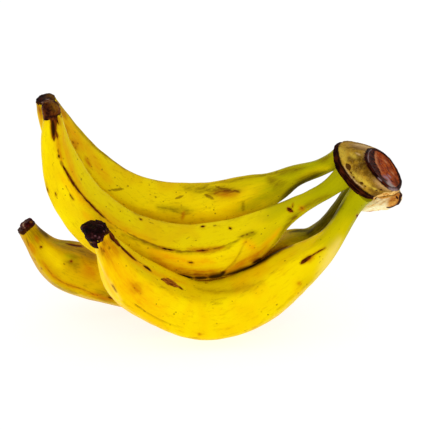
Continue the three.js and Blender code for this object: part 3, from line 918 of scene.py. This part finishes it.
def add_blossom_end(surface):
    name, seed = surface["name"], surface["seed"]
    shape = BLOSSOM_ENDS[name]
    centre, half_width, forward, inner, near = surface["end"]
    part = np.linspace(BLOSSOM_FOOT, 1, BLOSSOM_RINGS)[:, None]
    turn = -turns(BLOSSOM_SIDES)
    angle = turn + math.radians(FRUITS[name]["ridge"])
    up = np.maximum(part, 0)
    round_off = np.sqrt(1 - (BLOSSOM_BLUNT * up) ** shape["roundness"])
    swell = 1 + (shape["bulge"] - 1) * np.sin(math.pi * up)
    swell = swell * (shape["girth"] + (1 - shape["girth"]) * smooth_step(0, 0.5, up))
    lumps = 1 + shape["lumps"] * up * (np.sin(3 * angle + 5 * up) + np.sin(7 * angle - 4 * up))
    sharpness = np.full((BLOSSOM_RINGS, 1), END_SHARPNESS)
    reach = half_width * round_off * swell * lumps * section_shape(turn + 0 * part, sharpness)
    dome = shape["length"] * np.sin(BLOSSOM_BLUNT * up * math.pi / 2)
    rise = np.where(part > 0, dome, BLOSSOM_FOOT_SCALE * part)
    out = around(angle, inner, near)
    foot, lean = np.array(shape["foot"]), np.array(shape["lean"])
    aside = foot + up[..., None] * (lean - foot)
    tilted = rise - shape.get("tilt", 0) * reach * np.cos(angle)
    middle = centre + tilted[..., None] * forward + aside
    points = middle + reach[..., None] * out
    away = unit(points - middle + 0.5 * shape["length"] * up[..., None] * forward)

    draw = np.random.default_rng(seed + 12)
    count, smallest, largest, height = shape["warts"]
    seats = points.reshape(-1, 3)[draw.integers(0, points.shape[0] * points.shape[1], count)]
    tall = warts(points, seats, draw.uniform(smallest, largest, count), height)
    rough = 0.12 * waves(points, 2.2, seed + 13)
    points = points + ((tall + rough) * (0.25 + 0.75 * smooth_step(0, 0.3, up)))[..., None] * away
    mesh = grid_mesh("blossom_end_" + name, points)
    store(mesh, {"wart": tall / (height * largest)})
    store(mesh, mark_fields(points, BLOSSOM_MARKS[name], BLOSSOM_KINDS))
    material = dried("dried_" + name, *BLOSSOM_COLOURS[name])
    add_piece("dried_end_" + name, mesh, material, "dried_blossom", "blossom_end_" + name)


# ---------------- pieces: the crown

CROWN_SIDES = 260
# [height, share of the base's slope, lean, half-length, half-width] up the outline, and then in over
# the rim of the cut and across it.
CROWN_STEPS = [
    [-5, 1, 0.8, 20, 18], [-3.8, 1, 0.8, 26.4, 23.4], [-2.7, 1, 0.8, 28.8, 25.8], [-1.4, 1, 0.9, 28.4, 25.4],
    [0, 1, 1.5, 27.1, 24.4], [1.2, 0.97, 1.8, 27.2, 24], [2.4, 0.93, 2.3, 28.8, 24.4],
    [4.4, 0.78, 3.5, 28.6, 24], [8, 0.48, 6.2, 28.2, 24.2], [12.2, 0.24, 9.2, 25.6, 26],
    [15, 0.06, 11.6, 22.6, 27.4], [16.8, 0, 12.7, 20.9, 26.6], [17, 0, 12.8, 19.4, 25],
    [16.4, 0, 12.8, 18.2, 23.6], [15.8, 0, 12.8, 17, 22], [15.6, 0, 12.8, 12, 15], [16, 0, 12.8, 6, 8],
    [16.2, 0, 12.8, 1, 1.2],
]
CROWN_MIDDLE = (8.0, 6.0, 0.0)  # up, along and across
BURIED_HEIGHT = 6.0  # of a hidden ring that closes the crown's skin and its cut face from within
BURIED_LEAN = 8
BURIED_RADIUS = 10
CROWN_FAR_SIDE = 0.93  # how wide its far side is for its near side
CROWN_RING_NARROWING = 1.3  # how many steps later the dark ring starts at the top of the picture
CROWN_SAMPLES = 12  # rings from one step to the next
CUT_STEP = 13  # where the cut's own piece starts
CROWN_MARKS = {
    # partly yellow skin, partly painted highlight on the lit side and the groove's lip
    "yellow_and_highlight": [
        (7, (339, 147.5), (342, 152), (343.5, 157), (345.5, 162)),
        (5, (352, 172), (358, 177.5), (365, 182.5), (371, 187)), (3, (372, 187.5), (377, 190)),
        (5, (350, 153), (356, 158)),
    ],
    # partly pale skin, partly painted highlight on the groove's lip and the top
    "ivory_and_highlight": [
        (1.6, (344, 165.5), (346.5, 171), (350.5, 177), (356.5, 183), (363, 187.3)),
        (2.4, (356, 153), (360, 155)), (5, (356, 144.6), (364, 146), (372, 149.4)),
    ],
    # real olive blotches, and the stroke of width 4 is painted shade at the ring's upper left
    "olive": [
        (10, (362, 157), (363, 163), (365, 170)), (9, (367, 171), (374, 178), (380, 182)),
        (4, (364, 153), (364.5, 160)), (6, (360, 165), (362.5, 170)),
    ],
    "tan": [
        (13, (352, 144.5), (361, 146), (369, 148), (376, 150)), (8, (376, 181), (386, 187), (393, 190.5)),
        (8, (365, 152), (370, 161), (376, 171)),
    ],
    # painted shadow where the upper stalk meets the crown
    "deep_painted_shadow": [(4, (335.5, 148), (337.5, 144.5), (341, 143))],
    "cork": [
        (4.2, (346.5, 164), (348.5, 167), (349.5, 170)), (1.2, (350, 171.5), (352, 174)),
        (1.8, (353, 176.6), (354.6, 178)), (2.6, (360, 182.4), (363, 184)),
        (1.6, (364.6, 185.6), (366, 186.6)), (2.2, (376, 190), (377, 190.6)),
        (2.8, (380, 189.4), (382.4, 190)), (1, (356, 168), (357, 169)),
    ],
    # painted highlights on the dark ring
    "mauve_highlight": [
        (1.8, (371.5, 149.5), (369, 153), (368.3, 158), (369, 162)), (1.2, (378, 177.5), (382, 181)),
        (4, (389, 188), (393.5, 190), (397.5, 190.5)),
    ],
    "torn": [(6, (374, 199), (379, 196.5), (385, 194.5), (392, 193.2), (400, 191.8))],
}
CUT_MARKS = {
    "dark": [
        (2.6, (381, 151.6), (386, 157), (390, 163), (393.5, 170)), (2.2, (378.5, 158), (380.5, 165)),
        (2.4, (387, 166), (389, 172)), (6, (395, 178), (397, 183), (398.5, 187)),
    ],
    "glow": [
        (3.4, (376.5, 151.5), (375.4, 157), (376.6, 163.4), (379, 167.5), (381.5, 172)),
        (4, (384, 160), (387, 163)), (4, (391.5, 171), (393.5, 175)),
    ],
    # painted highlights on the dark ring
    "mauve_highlight": [(4.5, (383.5, 176.6), (387.6, 178), (389.6, 181), (388, 184)), (3, (388, 175.4), (391, 177))],
    "pit": [(3.6, (386.2, 179.8), (386.8, 180.8)), (2.4, (391.5, 180), (392.5, 182))],
    # a wet spot: glossier, and its grey-white colour is a painted reflection
    "damp_with_painted_sheen": [(9, (389, 184.5), (393, 186.8), (396.5, 188.4))],
}
FIBRE_DEEPEST = 4  # pixels
# The fibrous middle of the cut, inside its dark ring, as the pixels of its outline.
CUT_OUTLINE = [
    (375, 149.8), (374.2, 155.7), (375, 162.3), (378.3, 167.3), (381.7, 175.7), (385.8, 180.7),
    (390.8, 188.2), (397.5, 189.6), (399.5, 184), (397, 173.2), (391.4, 160.8), (383.8, 152.2), (378, 149),
]
CROWN_TINTS = (  # kind, colour and the most of it that shows
    ("olive", "#4c3204", 0.9), ("yellow_and_highlight", "#e0be3e", 0.95), ("tan", "#d0a468", 0.95),
    ("ivory_and_highlight", "#ecc888", 0.9), ("deep_painted_shadow", "#3a1608", 0.9),
)


def crown_point(up, along, across):
    return (CROWN_BASE + up[..., None] * CROWN_AXIS + along[..., None] * CROWN_LONG
            + across[..., None] * CROWN_WIDE)


def crown_skin():
    """Olive-brown skin with a dark groove round the foot and a dark ring round the cut, with some painted
    highlight and shade.
    """
    f = Finish("crown_skin", Specular_IOR_Level=0.03, Specular_Tint=(1, 0.85, 0.6, 1))
    place = f.place()
    small = f.noise(place, 0.0028, 5, 0.7)
    grit = f.noise(place, 0.0008, 3, 0.7)
    rough = f.plus(small, -0.5)
    f.colour = f.mix(f.between(f.noise(place, 0.010, 4, 0.65), 0.38, 0.62), "#745008", "#b88c22")
    # some of these tints are painted highlight and shade
    for kind, colour, most in CROWN_TINTS:
        f.tint(kind, f.between(small, 0.3, 0.6, 0.35 * most, most), colour)
    f.cover(f.between(small, 0.5, 0.68, 0, 0.6), "#4e340a")
    f.cover(f.between(grit, 0.56, 0.7, 0, 0.4), "#d0b070")
    cork = f.between(f.plus(f.field("cork"), rough, 2), -0.2, 0.4)
    f.cover(f.times(cork, 0.9), "#3c1606")

    streak = f.noise(f.field("grain", "Vector"), 1.0, 3, 0.6)
    start = f.plus(f.field("step"), rough, 0.9)
    end = f.plus(start, f.plus(f.field("step"), f.field("rim"), -1), 2)
    groove = f.times(f.between(start, 0.2, 0.6), f.between(end, 6.5, 5.8))
    f.cover(groove, f.mix(f.between(streak, 0.42, 0.74), "#120201", "#542006"))
    ring = f.between(f.plus(f.field("rim"), rough, 0.9), 9.8, 10.3)
    ring_colour = f.mix(f.between(streak, 0.45, 0.7), "#1a0201", "#64200a")
    # painted highlights speckle the dark ring
    mauve_highlight = f.times(f.field("mauve_highlight"), f.between(grit, 0.35, 0.55, 0.3, 0.9))
    f.cover(ring, f.mix(mauve_highlight, ring_colour, "#9c8484"))
    torn = f.between(f.plus(f.field("torn"), rough, 3), -0.3, 0.3)
    f.cover(torn, f.mix(f.between(small, 0.35, 0.6), "#c07818", "#f8cc78"))
    f.bump(f.plus(f.times(small, 0.8), grit, 0.4), 0.0008, 0.8)
    return f.done(f.between(small, 0.3, 0.7, 0.45, 0.65))


def cut_fibre():
    """The crown's cut face: orange-brown fibre in a dark ring with painted highlights, and a wet spot whose
    grey-white sheen is painted.
    """
    f = Finish("cut_fibre", Specular_IOR_Level=0.04, Specular_Tint=(1, 0.7, 0.6, 1))
    place = f.place()
    small = f.noise(place, 0.003, 5, 0.75)
    grit = f.noise(place, 0.0009, 3, 0.7)
    f.colour = f.mix(f.between(small, 0.35, 0.65), "#882602", "#cc5e14")
    f.cover(f.between(grit, 0.5, 0.66, 0, 0.6), "#4c1604")
    for kind, colour in (("glow", "#d08a58"), ("dark", "#3a1206")):
        f.tint(kind, f.between(small, 0.3, 0.6, 0.34, 0.85), colour)
    edge = f.between(f.plus(f.field("fibre"), f.plus(small, -0.5), 2.5), 0.6, -0.4)
    f.cover(edge, f.mix(f.between(small, 0.4, 0.62), "#160302", "#60240e"))
    # painted highlights
    f.tint("mauve_highlight", f.between(grit, 0.35, 0.6, 0.3, 0.95), "#a8909c")
    f.cover(f.field("pit"), "#140606")
    # painted grey-white reflection on the wet spot, whose lower roughness is real
    f.tint("damp_with_painted_sheen", f.between(small, 0.25, 0.5, 0.7, 1), "#b8aca0")
    f.bump(f.plus(small, grit, 0.5), 0.001, 0.9)
    return f.done(f.between(f.field("damp_with_painted_sheen"), 0, 1, 0.6, 0.2))


def crown_rings():
    steps = np.array(CROWN_STEPS, float)
    place = np.linspace(0, len(steps) - 1, (len(steps) - 1) * CROWN_SAMPLES + 1)
    return place, spline(steps, place / (len(steps) - 1))


def picture_place(points):
    """The pixels of the picture at which points in mm show."""
    middle = PICTURE_SIDE / 2
    eye, forward = (np.array(v) for v in sight_line(middle, middle))
    right = np.array([1.0, 0, 0])
    up = np.cross(right, forward)
    seen = points - eye
    scale = PICTURE_SIDE * CAMERA_LENS / SENSOR_WIDTH / (seen @ forward)
    return np.stack([middle + scale * (seen @ right), middle - scale * (seen @ up)], axis=-1)


def depth_in_outline(points, corners):
    """How deep inside a closed outline of pixels points show, in pixels."""
    places, corners = picture_place(points), np.array(corners, float)
    nearest, inside = np.full(places.shape[:-1], FAR), np.zeros(places.shape[:-1], bool)
    for a, b in zip(corners, np.roll(corners, -1, axis=0)):
        nearest = np.minimum(nearest, to_segment(places, a, b)[1])
        spans = (a[1] > places[..., 1]) != (b[1] > places[..., 1])
        rise = (b[1] - a[1]) or 1  # whatever it is on a level side, which spans nothing
        inside ^= spans & (places[..., 0] < a[0] + (places[..., 1] - a[1]) / rise * (b[0] - a[0]))
    return np.where(inside, nearest, -nearest)


def add_crown():
    place, rows = crown_rings()
    height, share, lean, half_length, half_width = (rows[:, i][:, None] for i in range(5))
    angle = turns(CROWN_SIDES)
    lump = 1 + 0.015 * np.sin(3 * angle + 0.2 * height) + 0.01 * np.sin(5 * angle)
    narrower = (1 - CROWN_FAR_SIDE) * smooth_step(-0.3, 1, np.sin(angle)) * smooth_step(14, 6, height)
    across = lump * half_width * np.sin(angle) * (1 - narrower)
    up = height + share * CROWN_BASE_SLOPE * across
    points = crown_point(up, lean + lump * half_length * np.cos(angle), across)
    middle = crown_point(*np.array(CROWN_MIDDLE)[:, None])
    away = unit(points - middle)
    rough = 0.7 * swells(points, SEED + 1, (0.4, 16), (0.2, 5), (0.1, 2))
    points = points + rough[..., None] * away
    step = place[:, None] + 0 * angle
    cut = CUT_STEP * CROWN_SAMPLES
    body_fields = mark_fields(points, CROWN_MARKS, CROWN_MARKS)
    cut_fields = mark_fields(points, CUT_MARKS, CUT_MARKS)
    cut_fields["fibre"] = np.clip(depth_in_outline(points, CUT_OUTLINE), -FIBRE_DEEPEST, FIBRE_DEEPEST)
    grain = np.stack([1.6 * step, 3 * np.cos(angle) + 0 * step, 3 * np.sin(angle) + 0 * step], axis=-1)
    ring = np.array([np.cos(angle[0]), np.sin(angle[0])]) * BURIED_RADIUS
    buried = crown_point(np.full(CROWN_SIDES, BURIED_HEIGHT), BURIED_LEAN + ring[0], ring[1])[None]

    mesh = grid_mesh("crown", np.concatenate([points[: cut + 1], buried]))
    narrowing = np.maximum(0.5 * np.sin(angle) - 0.87 * np.cos(angle), 0) ** 2
    body_fields.update(step=step, rim=step - CROWN_RING_NARROWING * narrowing, grain=grain)
    # In both pieces, the buried ring has the marks of the outline's next ring.
    store(mesh, {kind: field[: cut + 2] for kind, field in body_fields.items()})
    add_piece("crown_body", mesh, crown_skin(), "crown_skin", "crown")
    disc = grid_mesh("crown_cut", np.concatenate([buried, points[cut - 2:]]))
    store(disc, {kind: field[cut - 3:] for kind, field in cut_fields.items()})
    add_piece("crown_cut", disc, cut_fibre(), "cut_fibre")


# As in the part's source: control points [x, y, z, half-height, half-depth] away from the front stalk.
FLESH_CONTROLS = [
    [125, -5, 110, 3.5, 6], [135.5, -7, 112.5, 7.5, 9], [146, -8, 115, 8.3, 10], [156.5, -8, 117.3, 8.3, 10],
    [163, -7, 119, 6, 7],
]
FLESH_RINGS = 120
FLESH_SIDES = 180
FLESH_MARKS = {
    "orange": [
        (4, (378, 197), (390, 196)), (14, (394, 195), (397, 198), (395, 203), (390, 205)),
        (3, (366.5, 211.6), (373, 212.2), (381, 211.4)),
    ],
    "char": [
        (2.2, (396, 196), (398, 199)),
        (6, (399.4, 191), (400.8, 196), (400.2, 200.4), (397.8, 204.2), (393.2, 206.8), (387.5, 207.2)),
    ],
    "crease": [
        (1.6, (387, 199.5), (381, 204), (373, 209)), (1.4, (384, 198), (377, 202.5), (370, 207)),
        (1.2, (379, 197), (373, 201)),
    ],
}


def torn_flesh():
    """Pale fibrous flesh, browned and then charred towards its end."""
    f = Finish("torn_flesh", Specular_IOR_Level=0.08, Specular_Tint=(1, 0.85, 0.6, 1))
    fibres = f.noise(f.scaled(f.place(), (0.4, 1, 1)), 0.0022, 5, 0.7)
    ragged = f.plus(fibres, -0.5)
    f.colour = f.mix(f.between(fibres, 0.35, 0.65), "#ffdf98", "#fffbd0")
    f.tint("crease", 0.7, "#d8a050")
    orange = f.plus(f.math("MAXIMUM", f.field("orange"), f.field("browned")), ragged)
    orange_colour = f.mix(f.between(fibres, 0.4, 0.6), "#b86408", "#eca83c")
    f.cover(f.between(orange, 0.15, 0.7, 0, 0.95), orange_colour)
    char = f.plus(f.math("MAXIMUM", f.field("char"), f.field("browned")), ragged, 0.8)
    f.cover(f.between(char, 0.35, 0.7), "#3c1406")
    f.bump(fibres, 0.0012, 0.9)
    return f.done(0.55)


def add_flesh():
    place = np.linspace(0, 1, FLESH_RINGS)
    rows = spline(FLESH_CONTROLS, place)
    turn = turns(FLESH_SIDES)
    blunt = np.sqrt(np.minimum(1, 1.02 - np.maximum(place - 0.86, 0) ** 2 / 0.14**2))
    blunt = blunt * np.sqrt(np.minimum(1, 0.1 + place / 0.08))
    height, depth = (rows[:, column, None] * blunt[:, None] for column in (3, 4))
    out = np.stack([0 * turn * height, np.cos(turn) * depth, np.sin(turn) * height], axis=-1)
    points = rows[:, None, :3] + out
    away = unit(out + np.array([3.0, 0, 0]) * smooth_step(0.75, 1, place)[:, None, None])
    rough = 0.7 * waves(points * [0.5, 1, 1], 8, SEED + 21)
    rough = rough + 0.25 * waves(points * [0.4, 1, 1], 2.5, SEED + 22)
    points = points + rough[..., None] * away
    mesh = grid_mesh("torn_flesh", points)
    store(mesh, mark_fields(points, FLESH_MARKS, FLESH_MARKS))
    browned = smooth_step(0, 4, points[..., 1] + 6) * smooth_step(0.2, 0.7, place)[:, None]
    store(mesh, {"browned": browned})
    add_piece("torn_flesh", mesh, torn_flesh(), "torn_flesh")


# ---------------- the stage

FLOOR_SIZE = 12
FLOOR_PALENESS = 0.42
FLOOR_GLOW = 0.745  # the floor is lit from within, as a light table is, so that shadows on it stay faint
SKY_STRENGTH = 0.7
KEY_PLACE = (-0.8, -1.5, 0.35)
KEY_AIM = (0, 0, 0.09)
KEY_SIZE = 1.0
KEY_POWER = 7.5


def add_stage():
    half = FLOOR_SIZE / 2
    mesh = bpy.data.meshes.new("floor")
    corners = [(-half, -half, 0), (half, -half, 0), (half, half, 0), (-half, half, 0)]
    mesh.from_pydata(corners, [], [(0, 1, 2, 3)])
    f = Finish("floor", Specular_IOR_Level=0, Emission_Color=(1, 1, 1, 1), Emission_Strength=FLOOR_GLOW)
    f.colour = (FLOOR_PALENESS, FLOOR_PALENESS, FLOOR_PALENESS, 1)
    mesh.materials.append(f.done(0.9))
    put("floor", mesh)


def add_lights():
    world = bpy.data.worlds.new("studio")
    world.use_nodes = True
    sky = world.node_tree.nodes["Background"]
    sky.inputs["Color"].default_value = (1, 1, 1, 1)
    sky.inputs["Strength"].default_value = SKY_STRENGTH
    bpy.context.scene.world = world

    data = bpy.data.lights.new("key", "AREA")
    data.shape = "DISK"
    data.size = KEY_SIZE
    data.energy = KEY_POWER
    key = put("key", data)
    key.location = KEY_PLACE
    key.rotation_euler = (Vector(KEY_AIM) - Vector(KEY_PLACE)).to_track_quat("-Z", "Y").to_euler()


add_camera()
bpy.context.scene.view_settings.view_transform = "Standard"
add_stage()
add_lights()
for fruit_name in FRUITS:
    add_blossom_end(add_fruit(fruit_name))
add_crown()
add_flesh()
